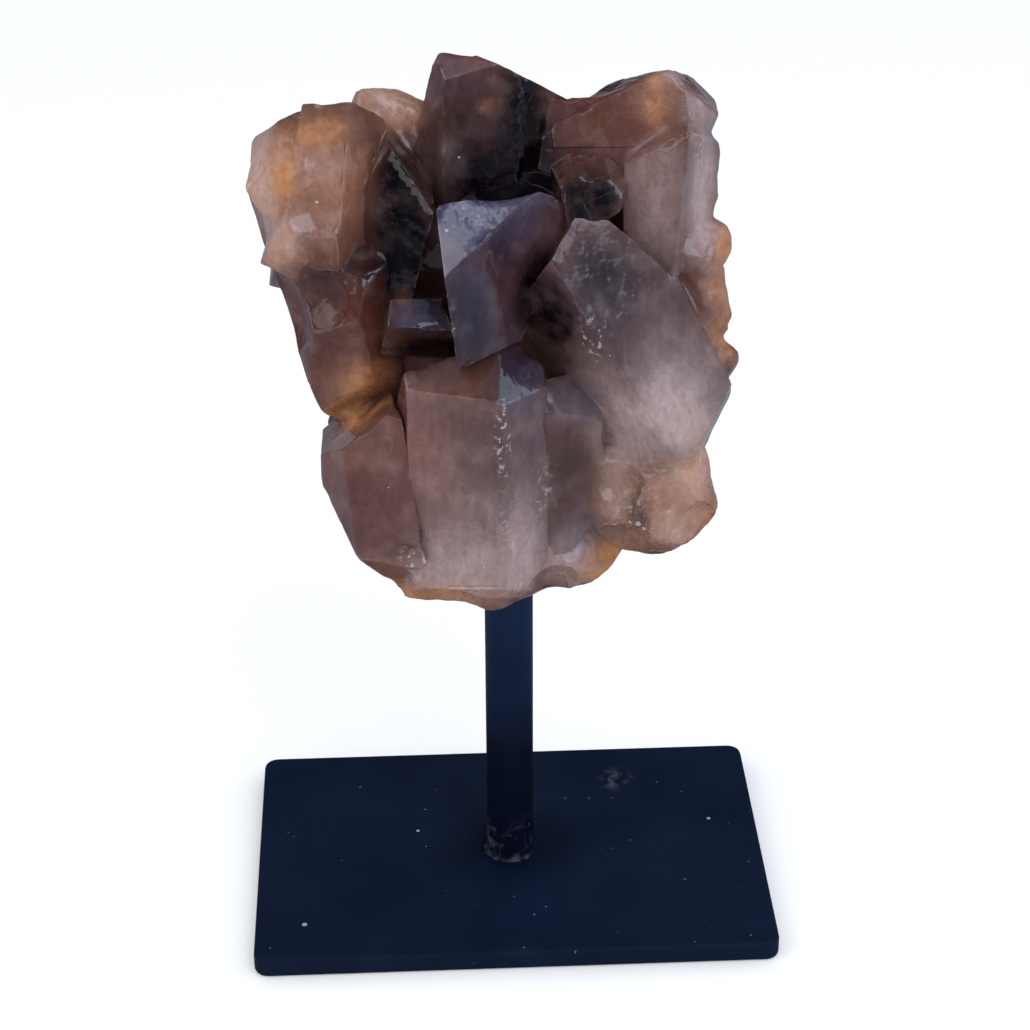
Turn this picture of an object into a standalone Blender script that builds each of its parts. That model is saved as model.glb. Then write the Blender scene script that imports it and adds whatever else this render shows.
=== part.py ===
"""Smoky quartz cluster on a round steel post and a flat steel plate.

The tables below are in millimetres and degrees; MM turns them into Blender's metres. The origin is
the centre of the plate's underside, +Z is up and the side that the stone shows to a viewer is -Y.
"""

import math

import bmesh
import bpy
import numpy as np
from mathutils import Matrix, Vector

MM = 0.001

# Stand: a plate cut from 3.5 mm sheet and a length of 8 mm round bar.
PLATE_WIDTH = 87.5
PLATE_DEPTH = 57.5
PLATE_THICKNESS = 3.5
PLATE_CORNER = 2.4
PLATE_EDGE = 0.5
POST_RADIUS = 4.0
POST_TOP = 76.0
POST_CHAMFER = 0.5
POST_SIDES = 48

# The stone sits over the top of the post in a blind drilled hole.
GAP = 0.3
HOLE_RADIUS = POST_RADIUS + GAP
HOLE_MOUTH = 50.0

# Half the side of the cube that every crystal is cut from.
BLANK = 60.0
# Angle between a quartz crystal's axis and the normals of its six end faces.
END_FACE_ANGLE = 51.8
# Angle between the neighbours of an even spiral of directions.
SPIRAL_STEP = 137.5
LUMP_JITTER = 0.12
LUMP_ROUGHNESS = 0.12

# Crystals that show their faces: each face is its outward azimuth and elevation, and a point on it.
BLOCKS = (
    ("front_prism", (
        (-109, 0, (-1.8, -23, 90)),
        (-49, 0, (-1.8, -23, 90)),
        (191, 0, (-16, -18, 90)),
        (11, 0, (5.5, -17, 90)),
        (90, 0, (0, 0, 90)),
        (-49, 42, (-1.8, -23, 102.5)),
        (-109, 50, (-1.8, -23, 103)),
        (105, 35, (-12, -15.5, 106)),
        (40, 45, (2, -14, 107)),
        (-100, -45, (-4, -22, 70)),
        (-30, -45, (3, -19, 70)),
        (0, -90, (0, 0, 62)),
    )),
    ("front_neighbour", (
        (-75, -2, (10, -15.5, 87)),
        (-15, 0, (14, -14, 87)),
        (90, 0, (0, 0, 90)),
        (180, 0, (2, -10, 90)),
        (-60, 42, (10, -15.5, 97)),
        (120, 30, (12, -9, 101)),
        (-80, -50, (10, -15, 71)),
        (-30, -25, (12, -14, 76)),
    )),
    ("keystone", (
        (-70, 42, (-10, -22, 123)),
        (-50, 6, (-10, -22, 123)),
        (180, -7, (-10, -22, 123)),
        (109, 30, (-4, -12, 131)),
        (15, 15, (9, -10, 128)),
        (0, -28, (8.6, -12, 122)),
        (-45, -58, (-5, -20, 108.5)),
        (90, 0, (0, 0, 120)),
    )),
    ("top_crystal", (
        (-80, 12, (-8, 2, 144.5)),
        (-150, 8, (-9, 1.6, 144)),
        (-52, 8, (3.5, 4, 142)),
        (10, 10, (12, 8, 139)),
        (-90, 48, (-8, 2, 144.5)),
        (40, 56, (1, 5, 144.2)),
        (180, 29, (-12.2, 6, 142.5)),
        (0, 80, (-5, 6, 146.5)),
        (90, 45, (-5, 6, 146.5)),
        (75, 12, (0, 16, 132)),
        (140, 15, (-9, 13, 132)),
        (0, -90, (0, 0, 115)),
    )),
    ("top_right_crystal", (
        (-105, 20, (21, 0, 134)),
        (-60, 10, (27, -1, 136)),
        (-100, -40, (21, 0, 133.5)),
        (-40, -35, (30, 0, 137)),
        (90, 60, (21, 5, 144)),
        (0, 45, (28.1, 4, 141.7)),
        (0, -15, (33, 3, 138)),
        (160, 62, (14, 5, 139)),
        (90, 0, (0, 18, 130)),
        (55, 15, (31, 13, 132)),
        (135, 25, (14, 14, 134)),
        (80, -35, (22, 16, 126)),
        (180, -10, (6, 5, 140)),
        (0, -90, (0, 0, 120)),
    )),
    ("saddle", (
        (-105, 20, (21, 0.3, 134)),
        (0, 90, (10, 3, 139.5)),
        (90, 45, (10, 6, 139.5)),
        (90, 0, (0, 14, 130)),
        (180, 0, (0, 0, 130)),
        (0, 0, (24, 0, 130)),
        (-95, -40, (12, 0, 131)),
        (0, -90, (0, 0, 118)),
    )),
    ("right_upper_prism", (
        (-110, 7, (27, -5, 138)),
        (-30, -2, (27, -5, 138)),
        (180, 0, (17.5, -4, 130)),
        (180, 57, (27, -5, 138)),
        (10, 45, (28, -4, 138)),
        (0, 0, (33, 2, 124)),
        (-10, -35, (31, 0, 120)),
        (90, 0, (0, 8, 120)),
        (0, -90, (0, 0, 108)),
    )),
    ("right_slab", (
        (-50, 24, (10.7, -19, 115.2)),
        (-132, -18, (10.7, -19, 115.2)),
        (100, 50, (8, -11, 126.3)),
        (165, 30, (8, -13, 125.5)),
        (30, 45, (24.4, -7, 116.4)),
        (10, 25, (24.6, -6, 117.3)),
        (-20, -20, (36.5, 0, 95)),
        (-75, -45, (24, -17, 88)),
        (110, 0, (15, 6, 110)),
        (0, -80, (20, 0, 80)),
    )),
    ("small_dark_end", (
        (-95, 28, (13, -5.5, 128.5)),
        (-165, 0, (8, -5, 129)),
        (-20, 0, (17.5, -5, 129)),
        (-140, 48, (9, -4.5, 130)),
        (-30, 50, (16, -4.5, 130)),
        (-90, 62, (13, -3.5, 131)),
        (0, -60, (13, -7, 124)),
        (90, 0, (0, 0, 130)),
    )),
    ("left_blade", (
        (-130, 15, (-15, -8, 122)),
        (0, 39, (-11.5, -8.5, 128)),
        (0, -15, (-11, -9, 128)),
        (180, 30, (-22.5, 0, 127)),
        (180, -15, (-22.5, -2, 124)),
        (0, 75, (-18, 0, 137)),
        (90, 0, (0, 8, 120)),
        (0, -70, (-17, -8, 111)),
    )),
    ("small_ledge", (
        (-85, 50, (-13, -15, 111.5)),
        (-95, -35, (-13, -15.3, 112)),
        (180, 10, (-18.5, -13, 112)),
        (0, 20, (-9.5, -15, 113)),
        (90, 50, (-13, -11, 114.5)),
        (90, 0, (0, 0, 110)),
        (0, -90, (0, 0, 104)),
    )),
    ("left_shoulder", (
        (-92, 22, (-29.7, -4, 126.3)),
        (-50, 12, (-24.3, -3.5, 126)),
        (180, 12, (-32.5, 0, 130)),
        (90, 40, (-28, 5, 137.5)),
        (-70, -30, (-26, -7, 117.5)),
        (-140, -20, (-32, -6, 121)),
        (0, 0, (-17.5, 0, 125)),
        (0, -70, (-28, 0, 112)),
        (90, 0, (0, 14, 125)),
    )),
    ("left_mass", (
        (-112, 20, (-27, -8, 113.5)),
        (-100, -6, (-26, -9.5, 106)),
        (-150, 2, (-31.5, -6, 108)),
        (-55, 3, (-20.5, -9, 108)),
        (180, -19, (-32.3, 0, 103)),
        (0, 0, (-16.5, 0, 105)),
        (-100, 62, (-28, -4, 119)),
        (-70, -38, (-23, -9, 98.5)),
        (90, 0, (0, 9, 105)),
        (0, -70, (-25, 0, 91.5)),
    )),
    ("lower_left_block", (
        (-100, 8, (-21, -17.5, 86)),
        (-150, 0, (-28, -12, 82)),
        (180, 0, (-29.5, -6, 84)),
        (180, -32, (-22.8, -10, 71.5)),
        (-100, -40, (-20, -16, 70)),
        (170, 48, (-25, -10, 91.5)),
        (0, 75, (-18, -12, 97.5)),
        (10, 5, (-16, -14, 85)),
        (90, 0, (0, 3, 80)),
        (0, -80, (-15, 0, 62)),
    )),
)

# Six-sided crystals of the back: tip, lean to +X and to the viewer, turn, distance from the axis to
# a side, length, and how far each of the six end faces is moved in.
PRISMS = (
    ("back_tall", (8, 21, 128), (6, -14), 12, 10.5, 55, (2, 0, 0, 3, 0, 1)),
    ("back_left", (-17, 19, 117), (-14, -24), 38, 8.5, 42, (0, 2, 0, 0, 1.5, 0)),
    ("back_right", (24, 21, 112), (24, -20), 5, 7.5, 38, (0, 0, 2, 0, 1, 0)),
    ("back_low", (-3, 29, 97), (-5, -52), 20, 7, 28, (0, 1, 0, 2, 0, 0)),
)

# Broken, glassy lumps: centre, half sizes, number of facets and the seed of their unevenness.
LUMPS = (
    ("heart", (0, 6, 97), (30, 14, 35), 34, 1),
    ("right_matrix", (29.5, 1, 116), (4, 5, 6), 12, 31),
    ("right_low_matrix", (30.5, 2, 103), (3.5, 5, 6), 12, 32),
    ("left_edge", (-32, 5, 128.3), (6.2, 8, 9.2), 16, 15),
    ("left_low_edge", (-31, 0, 119), (5, 7, 7), 14, 16),
    ("rust_knob", (-25, -4, 92.5), (2.7, 2.7, 3.2), 14, 18),
    ("lower_right", (20.5, -8, 79.5), (11, 10, 11), 18, 8),
    ("right_edge", (28, 4, 108), (5.5, 7, 14), 16, 9),
    ("right_knob", (33.5, 0, 97.5), (2.5, 3, 3.5), 10, 19),
    ("top_left_lump", (-17, 12, 132.3), (8, 7, 6), 14, 12),
    ("foot", (-4, -7, 70.6), (16, 12.5, 9.4), 22, 10),
    ("foot_right", (8.5, -7, 69.5), (9, 9, 6.3), 16, 27),
    ("back_low_right", (10, 9, 78), (17, 11, 14), 18, 21),
    ("back_low_left", (-15, 8, 82), (12, 11, 15), 16, 22),
)


def clear_scene():
    """Removes whatever objects the file holds."""
    for obj in list(bpy.data.objects):
        bpy.data.objects.remove(obj, do_unlink=True)


def new_collection(name):
    """A collection linked to the scene."""
    collection = bpy.data.collections.new(name)
    bpy.context.scene.collection.children.link(collection)
    return collection


def new_material(name, colour, roughness, metallic):
    """A Principled material."""
    material = bpy.data.materials.new(name)
    material.use_nodes = True
    shader = material.node_tree.nodes["Principled BSDF"]
    shader.inputs["Base Color"].default_value = (*colour, 1.0)
    shader.inputs["Roughness"].default_value = roughness
    shader.inputs["Metallic"].default_value = metallic
    return material


def new_object(name, mesh, collection, material=None):
    """An object that holds a mesh, in a collection."""
    obj = bpy.data.objects.new(name, mesh)
    collection.objects.link(obj)
    if material:
        mesh.materials.append(material)
    return obj


def mesh_from(bm, name):
    """Turns a bmesh in millimetres into a mesh in metres."""
    bmesh.ops.scale(bm, vec=Vector((MM, MM, MM)), verts=bm.verts)
    bmesh.ops.recalc_face_normals(bm, faces=bm.faces)
    mesh = bpy.data.meshes.new(name)
    bm.to_mesh(mesh)
    bm.free()
    return mesh


def direction(azimuth, elevation):
    """Unit vector; azimuth 0 is +X, 90 is +Y, and elevation 90 is +Z."""
    a = math.radians(azimuth)
    e = math.radians(elevation)
    return Vector((math.cos(a) * math.cos(e), math.sin(a) * math.cos(e), math.sin(e)))


def cut_stone(name, centre, planes):
    """A convex crystal: a cube about a centre, cut by planes given as a point and a normal."""
    bm = bmesh.new()
    bmesh.ops.create_cube(bm, size=2 * BLANK, matrix=Matrix.Translation(centre))
    for point, normal in planes:
        everything = bm.verts[:] + bm.edges[:] + bm.faces[:]
        result = bmesh.ops.bisect_plane(
            bm, geom=everything, dist=1e-4, plane_co=point, plane_no=normal, clear_outer=True
        )
        rim = [item for item in result["geom_cut"] if isinstance(item, bmesh.types.BMEdge)]
        if rim:
            bmesh.ops.edgeloop_fill(bm, edges=rim)
    return mesh_from(bm, name)


def block(name, faces):
    """A crystal cut to the faces of one entry of BLOCKS."""
    planes = [(Vector(point), direction(azimuth, elevation)) for azimuth, elevation, point in faces]
    centre = sum((point for point, normal in planes), Vector()) / len(planes)
    return cut_stone(name, centre, planes)


def prism(name, tip, lean, turn, radius, length, trims):
    """A six-sided quartz crystal with a six-faced end, pointing along its leaning axis."""
    tip = Vector(tip)
    slope_x, slope_y = (math.tan(math.radians(angle)) for angle in lean)
    axis = Vector((slope_x, -slope_y, 1.0)).normalized()
    across = (Vector((1.0, 0.0, 0.0)) - axis.x * axis).normalized()
    beside = axis.cross(across)
    tilt = math.radians(END_FACE_ANGLE)
    planes = [(tip - length * axis, -axis)]
    for k, trim in enumerate(trims):
        angle = math.radians(turn + 60 * k)
        side = math.cos(angle) * across + math.sin(angle) * beside
        end = math.sin(tilt) * side + math.cos(tilt) * axis
        planes.append((tip + radius * side, side))
        planes.append((tip - trim * end, end))
    return cut_stone(name, tip - 0.5 * length * axis, planes)


def lump(name, centre, half_sizes, facets, seed):
    """A broken lump: an ellipsoid's tangent planes in directions on a slightly uneven spiral."""
    rng = np.random.default_rng(seed)
    step = np.arange(facets)
    height = 1 - 2 * (step + 0.5) / facets
    angle = np.radians(SPIRAL_STEP) * step
    ring = np.sqrt(1 - height**2)
    normals = np.column_stack((ring * np.cos(angle), ring * np.sin(angle), height))
    normals += rng.normal(0, LUMP_JITTER, normals.shape)
    normals /= np.linalg.norm(normals, axis=1)[:, None]
    reach = np.linalg.norm(normals * half_sizes, axis=1)
    reach *= 1 - rng.uniform(0, LUMP_ROUGHNESS, facets)
    planes = [
        (Vector(centre) + Vector(normal) * distance, Vector(normal))
        for normal, distance in zip(normals.tolist(), reach.tolist())
    ]
    return cut_stone(name, Vector(centre), planes)


def cylinder(radius, bottom, top):
    """An upright cylinder about the Z axis."""
    bm = bmesh.new()
    bmesh.ops.create_cone(
        bm,
        cap_ends=True,
        segments=POST_SIDES,
        radius1=radius,
        radius2=radius,
        depth=top - bottom,
        matrix=Matrix.Translation((0, 0, (top + bottom) / 2)),
    )
    return bm


def crystal_meshes():
    """The cluster's crystals and lumps, the core first."""
    meshes = [lump(*entry) for entry in LUMPS]
    meshes += [block(*entry) for entry in BLOCKS]
    meshes += [prism(*entry) for entry in PRISMS]
    return meshes


def add_boolean(obj, operation, operand):
    """A Boolean modifier with the exact solver, by one object or by all of a collection."""
    modifier = obj.modifiers.new(operation.title(), "BOOLEAN")
    modifier.operation = operation
    modifier.solver = "EXACT"
    if isinstance(operand, bpy.types.Collection):
        modifier.operand_type = "COLLECTION"
        modifier.collection = operand
    else:
        modifier.object = operand


def apply_modifiers(obj):
    """Keeps an object's evaluated mesh in place of its modifiers."""
    graph = bpy.context.evaluated_depsgraph_get()
    mesh = bpy.data.meshes.new_from_object(obj.evaluated_get(graph))
    mesh.name = obj.data.name
    obj.modifiers.clear()
    obj.data = mesh


def shells(bm):
    """The separate closed shells of a mesh, each as a list of faces."""
    waiting = set(bm.faces)
    found = []
    while waiting:
        shell = [waiting.pop()]
        for face in shell:
            for edge in face.edges:
                for neighbour in edge.link_faces:
                    if neighbour in waiting:
                        waiting.remove(neighbour)
                        shell.append(neighbour)
        found.append(shell)
    return found


def fill_hidden_pockets(obj):
    """Keeps the outer shell, so that a pocket closed in between crystals is solid quartz."""
    bm = bmesh.new()
    bm.from_mesh(obj.data)
    ordered = sorted(shells(bm), key=lambda faces: -sum(face.calc_area() for face in faces))
    for shell in ordered[1:]:
        bmesh.ops.delete(bm, geom=shell, context="FACES")
    bmesh.ops.remove_doubles(bm, verts=bm.verts, dist=1e-6)
    bmesh.ops.dissolve_degenerate(bm, edges=bm.edges, dist=1e-6)
    bm.to_mesh(obj.data)
    bm.free()


def build_cluster(parts, cutters, material):
    """The grown-together crystals as one solid, drilled from below for the post."""
    meshes = crystal_meshes()
    cluster = new_object("quartz_cluster", meshes[0], parts, material)
    grown = new_collection("grown_crystals")
    for mesh in meshes[1:]:
        crystal = new_object(mesh.name, mesh, grown)
        crystal.hide_render = True
        crystal.display_type = "WIRE"
    add_boolean(cluster, "UNION", grown)
    apply_modifiers(cluster)
    fill_hidden_pockets(cluster)
    hole = cylinder(HOLE_RADIUS, HOLE_MOUTH, POST_TOP + GAP)
    drill = new_object("post_hole", mesh_from(hole, "post_hole"), cutters)
    drill.hide_render = True
    drill.display_type = "WIRE"
    add_boolean(cluster, "DIFFERENCE", drill)
    return cluster


def build_post(parts, material):
    """The round bar, with a small chamfer at its ends."""
    bm = cylinder(POST_RADIUS, PLATE_THICKNESS + GAP, POST_TOP)
    rims = [edge for edge in bm.edges if edge.verts[0].co.z == edge.verts[1].co.z]
    bmesh.ops.bevel(bm, geom=rims, offset=POST_CHAMFER, segments=1, affect="EDGES")
    post = new_object("post", mesh_from(bm, "post"), parts, material)
    post.data.shade_smooth()
    post.data.set_sharp_from_angle(angle=math.radians(30))
    return post


def build_plate(parts, material):
    """The flat plate, with rounded corners and a fine rounded edge."""
    bm = bmesh.new()
    size = Matrix.Diagonal((PLATE_WIDTH, PLATE_DEPTH, PLATE_THICKNESS, 1.0))
    bmesh.ops.create_cube(bm, size=1.0, matrix=Matrix.Translation((0, 0, PLATE_THICKNESS / 2)) @ size)
    corners = [edge for edge in bm.edges if abs(edge.verts[0].co.z - edge.verts[1].co.z) > 1]
    bmesh.ops.bevel(bm, geom=corners, offset=PLATE_CORNER, segments=5, profile=0.5, affect="EDGES")
    rims = [edge for edge in bm.edges if abs(edge.verts[0].co.z - edge.verts[1].co.z) < 0.01]
    bmesh.ops.bevel(bm, geom=rims, offset=PLATE_EDGE, segments=2, profile=0.5, affect="EDGES")
    plate = new_object("base_plate", mesh_from(bm, "base_plate"), parts, material)
    plate.data.shade_smooth()
    plate.data.set_sharp_from_angle(angle=math.radians(30))
    return plate


def main():
    clear_scene()
    parts = new_collection("smoky_quartz_on_stand")
    cutters = new_collection("cutters")
    quartz = new_material("smoky_quartz", (0.36, 0.28, 0.27), 0.12, 0.0)
    steel = new_material("black_steel", (0.02, 0.03, 0.06), 0.45, 0.0)
    build_cluster(parts, cutters, quartz)
    build_post(parts, steel)
    build_plate(parts, steel)


main()
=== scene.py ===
"""Looks of the smoky quartz cluster on its steel stand.

Lengths in the tables are millimetres; MM turns them into metres. The frame is the CAD's: the origin
is the centre of the plate's underside, +Z is up and the side shown to a viewer is -Y.
"""

import math

import bpy
import numpy as np
from mathutils import Matrix, Vector


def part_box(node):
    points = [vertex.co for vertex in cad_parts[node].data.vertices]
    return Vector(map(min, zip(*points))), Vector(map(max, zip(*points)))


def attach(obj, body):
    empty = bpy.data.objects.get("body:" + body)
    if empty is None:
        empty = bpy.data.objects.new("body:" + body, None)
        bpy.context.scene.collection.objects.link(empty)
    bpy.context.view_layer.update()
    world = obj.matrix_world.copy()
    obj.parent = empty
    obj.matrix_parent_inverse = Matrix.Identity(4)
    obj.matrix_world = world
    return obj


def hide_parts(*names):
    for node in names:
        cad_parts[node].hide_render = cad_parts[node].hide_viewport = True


bl_info = {
    "name": "Smoky quartz on stand",
    "version": (1, 0, 0),
    "blender": (4, 5, 0),
    "location": "3D View > Sidebar > Quartz",
    "description": "Dresses a smoky quartz cluster, its post and its plate, and sets up a studio",
    "category": "Object",
}

MM = 0.001

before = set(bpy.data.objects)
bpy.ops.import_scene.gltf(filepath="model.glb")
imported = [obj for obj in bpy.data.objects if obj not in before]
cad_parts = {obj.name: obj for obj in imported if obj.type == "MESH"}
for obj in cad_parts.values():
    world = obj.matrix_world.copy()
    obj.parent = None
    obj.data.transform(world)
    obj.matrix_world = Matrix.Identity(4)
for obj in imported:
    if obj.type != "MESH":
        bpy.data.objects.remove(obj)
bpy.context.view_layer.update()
POST_LOW, POST_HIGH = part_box("post")
PLATE_LOW, PLATE_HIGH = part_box("base_plate")

# Edges of the rough stone that turn by more than this stay crisp.
CRISP_ANGLE = 9.0

# Where the quartz differs from plain smoky brown: centre, reach and strength of each soft spot.
SPOTS = {
    "peachy": (
        ((-28, -2, 131), (8, 8, 9), 1.0),
        ((-25, -8, 98), (4, 5, 5), 0.75),
        ((-24, -11, 91), (5, 6, 4), 0.6),
        ((-35, -5, 122), (5, 7, 5.5), 0.9),
        ((-18, 11, 137), (8, 7, 4), 1.0),
        ((22, -15, 80), (10, 9, 10), 0.85),
        ((22, -16, 96), (6, 5, 4), 0.6),
        ((-10, -14, 66), (10, 7, 5), 0.8),
        ((14, -12, 70), (9, 7, 5), 0.45),
        ((32, 2, 112), (5, 7, 12), 0.8),
        ((-21, -15, 71), (7, 6, 6), 0.35),
        ((-9, -18, 104.5), (7, 4, 3), 0.35),
        ((23, 1, 141), (4, 5, 5), 0.6),
        ((8, 18, 100), (14, 8, 14), 0.5),
        ((-14, 16, 128), (9, 8, 9), 0.6),
    ),
    "warm": (
        ((-26, -8, 110), (9, 8, 9), 0.9),
        ((-30, -7, 118), (5, 5, 4.5), 0.9),
        ((-24, -8, 101), (9, 7, 7), 0.8),
        ((1, -14, 118), (4, 5, 6), 1.0),
        ((-7, -1, 130), (4, 5, 5), 0.6),
        ((7, -11, 101), (5, 6, 6), 0.8),
        ((10, -15, 88), (5, 5, 8), 0.7),
        ((21, -2, 138), (8, 6, 5), 0.6),
        ((12, 4, 137), (7, 6, 5), 0.6),
        ((-10, -19, 101), (8, 5, 6), 0.35),
        ((-23, -16, 88), (6, 5, 6), 0.4),
        ((-8, 20, 118), (9, 8, 10), 0.6),
    ),
    "milky": (
        ((-7, -21, 72), (9, 6, 10), 0.88),
        ((1, -20.5, 74), (5, 5, 12), 1.05),
        ((-4, -20.5, 83), (7, 5, 6), 0.35),
        ((10, -15, 71), (5, 5, 7), 0.55),
        ((10, -14, 98), (4, 5, 2.5), 0.7),
        ((24, -15, 99), (12, 9, 9), 1.2),
        ((18, -15, 96), (6, 5, 6), 0.7),
        ((22, -14, 106), (5, 5, 5), 0.6),
        ((18, -16, 92), (6, 5, 5), 0.8),
        ((30, 0, 127), (4, 6, 12), 0.9),
        ((22, -4, 127), (5, 5, 9), 0.45),
        ((30, 1, 138), (4, 5, 5), 0.5),
        ((25, 3, 145), (6, 6, 2.5), 0.6),
        ((16.8, -13, 89), (4, 4, 4), 0.65),
        ((3, -10.5, 130.3), (5, 4, 4), 0.3),
        ((-8.5, -1, 132), (2.5, 4, 5), 0.4),
        ((24, 20, 106), (8, 7, 10), 0.6),
        ((-4, 21, 112), (7, 6, 9), 0.5),
    ),
    "rosy": (
        ((29, -13, 88), (6, 7, 7), 1.1),
        ((16.5, -16, 84), (3, 5, 6), 0.7),
        ((26, -14, 76), (6, 6, 4), 0.5),
        # The next two are painted light: a pale glow along the far-left edge.
        ((-35.5, -5, 122), (4, 5, 5), 0.6),
        ((-37, 2, 129), (4, 8, 9), 0.9),
        ((-27, -4, 133), (3, 5, 4), 0.5),
        ((-6, -20, 68), (9, 6, 3), 0.4),
        ((25, 3, 104), (4, 5, 6), 0.4),
        ((-18, 11, 138), (6, 6, 3), 0.5),
    ),
    # Painted reflection of the open sky on faces that turn towards it, not a colour of the quartz.
    "blue": (
        ((2.5, -19.5, 104), (5, 5, 5), 0.9),
        ((3, -20, 96), (3, 4, 5), 0.3),
        ((-4, -13, 129), (10, 6, 7), 1.5),
        ((3, -10.5, 130.3), (6, 4, 4.5), 1.3),
        ((-7, -18, 118), (5, 5, 8), 0.9),
        ((-7, 2, 144), (7, 4, 3), 0.35),
        ((12, -15, 117), (8, 7, 8), 0.4),
        ((-14, -14, 113), (4, 4, 2.5), 0.9),
        ((10, -14, 98), (4.5, 5, 3), 0.8),
        ((11, -15, 76), (3, 4, 6), 0.4),
    ),
    # Darkest smoky quartz, and painted shade in the gaps and hollows between crystals and on faces
    # turned away from the light.
    "dark_smoke_and_shade": (
        ((0, 0, 129), (10, 8, 7), 1.15),
        ((3, 2, 133), (6, 7, 7), 1.2),
        ((-5, -3, 125), (6, 6, 4), 0.5),
        ((-4, 3, 139), (7, 6, 4), 0.4),
        ((3, 3, 140), (4, 5, 6), 1.0),
        ((-16, -8, 121), (6, 7, 11), 1.0),
        ((-16, -4, 131), (4, 5, 6), 0.9),
        ((-13, -9, 115), (5, 5, 5), 1.0),
        ((-12.5, -12, 107), (7, 6, 3.5), 0.85),
        ((5.5, -13, 114), (5, 7, 8), 1.8),
        ((6.5, -11, 105), (5, 6, 5), 0.6),
        ((12.5, -5, 127), (6, 5, 6), 0.85),
        ((14, -13, 120), (8, 7, 6), 0.85),
        ((-7.5, -19.5, 115), (4.5, 5, 9), 0.6),
        ((-1, -17, 123), (5, 5, 6), 0.55),
        ((-29, -7, 115), (5, 5, 4), 0.45),
        ((9, -14, 88), (4, 5, 7), 0.5),
        ((-10, -20, 99), (5, 4, 4), 0.28),
        ((4, 14, 124), (12, 9, 10), 0.6),
        ((19.6, -18, 79.5), (2.5, 3, 4.5), 0.6),
    ),
    "rusty": (
        ((-25.5, -5.5, 93), (3.5, 4, 4.5), 1.3),
        ((-22, -9, 98), (4, 3, 5), 0.8),
        ((-33.5, 0, 131.5), (2, 6, 6), 1.1),
        ((-29, 1, 137), (6, 5, 2), 0.8),
        ((22.5, 2, 140.5), (1.4, 5, 4), 0.95),
        ((33, 1, 115), (2.5, 6, 6), 0.9),
        ((34, 0, 103), (3, 5, 5), 0.9),
        ((30, -16, 87), (4, 5, 5), 0.45),
        ((30, -10, 76), (5, 6, 4), 0.6),
        ((16, -12, 68.5), (6, 6, 3), 1.3),
        ((-13.5, -15, 65.5), (7, 6, 3), 1.1),
        ((-2.5, 2, 140), (1.6, 3, 1.1), 0.4),
        ((-16.5, -12, 112), (2, 3, 4), 0.2),
        ((0, 22, 84), (9, 5, 8), 0.8),
        ((-20, 14, 104), (7, 6, 9), 0.7),
    ),
    "chipped": (
        ((-1.6, -23, 97), (1.2, 2, 7), 1.0),
        ((-1.2, -23, 82), (0.8, 2, 4), 0.7),
        ((-9.6, -21.5, 112), (1.2, 2.5, 6), 0.8),
        ((12, -18.5, 110), (2.2, 3, 5), 0.9),
        ((5, -18, 84), (2, 3, 5), 0.5),
        ((-16, -19, 72), (1.6, 3, 4), 0.8),
        ((19, -17, 78), (3, 3, 5), 0.8),
        ((22, -17, 85), (4, 4, 5), 0.4),
        ((25, -16, 76), (4, 4, 4), 0.35),
        ((28, -1, 134), (1.5, 2, 2), 0.8),
        ((-6, -14, 130), (5, 6, 4), 0.18),
    ),
    "soft": (
        ((-28, -2, 124), (12, 14, 18), 0.22),
        ((-34, 2, 126), (4, 12, 14), 1.0),
        ((-24, -6, 103), (11, 12, 13), 0.22),
        ((-25, -4, 93), (6, 6, 5), 1.0),
        ((-21, -12, 80), (10, 9, 13), 0.34),
        ((22, -8, 79), (13, 11, 12), 1.0),
        ((-4, -6, 67), (22, 12, 6), 1.0),
        ((32, 2, 110), (6, 9, 24), 1.0),
        ((24, 4, 139), (12, 8, 9), 0.7),
        ((22, -17, 95), (8, 7, 8), 0.9),
        ((-17, 12, 133), (10, 9, 9), 1.0),
        ((0, 24, 95), (40, 14, 45), 1.0),
    ),
    "broken": (
        ((33, 3, 112), (5, 8, 18), 1.0),
        ((-34, 3, 130), (5, 8, 10), 0.7),
        ((23, -9, 78), (12, 11, 10), 1.0),
        ((-4, -6, 65), (22, 12, 5), 0.9),
        ((-25.5, -4, 93), (4, 4, 5), 1.0),
        ((0, 22, 88), (30, 12, 30), 0.8),
        ((24, 3, 141), (8, 6, 4), 0.5),
        ((-28, -4, 112), (8, 6, 14), 0.3),
    ),
}


# Spots that fill a crystal's whole face more than they fade across it.
FACET_TINTS = ("peachy", "warm", "milky", "rosy", "blue", "dark_smoke_and_shade")

# Noise of the stone's surface: size in millimetres and seed.
NICK_NOISE = (3.0, 5)
SWELL_NOISE = (7.0, 11)
CLOUD_NOISE = (16.0, 41)

# Hollows of broken surfaces: size in millimetres, seed and share; and their mean depth.
RUBBLE = ((7.0, 23, 0.6), (3.2, 29, 0.35))
RUBBLE_MEAN = 0.4

# Level of noise above which an edge is nicked, and how fast nicks deepen from there.
NICK_START = 0.52
NICK_GAIN = 5

# Gain of the soft spots, and the share of the swell that crisp crystals keep.
SOFT_GAIN = 1.4
LEAST_SWELL = 0.25

# Softness from which no edge is shaded crisp, and from which pale rims would be gone.
CRISP_SOFTNESS = 0.5
RIM_REACH = 1.3

# Seed of the tones of the crystals' faces.
TONE_SEED = 4

# Width of the pale rim of a shell-shaped break, as its gap to the break's sphere.
SCOOP_RIM = 0.3
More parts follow.
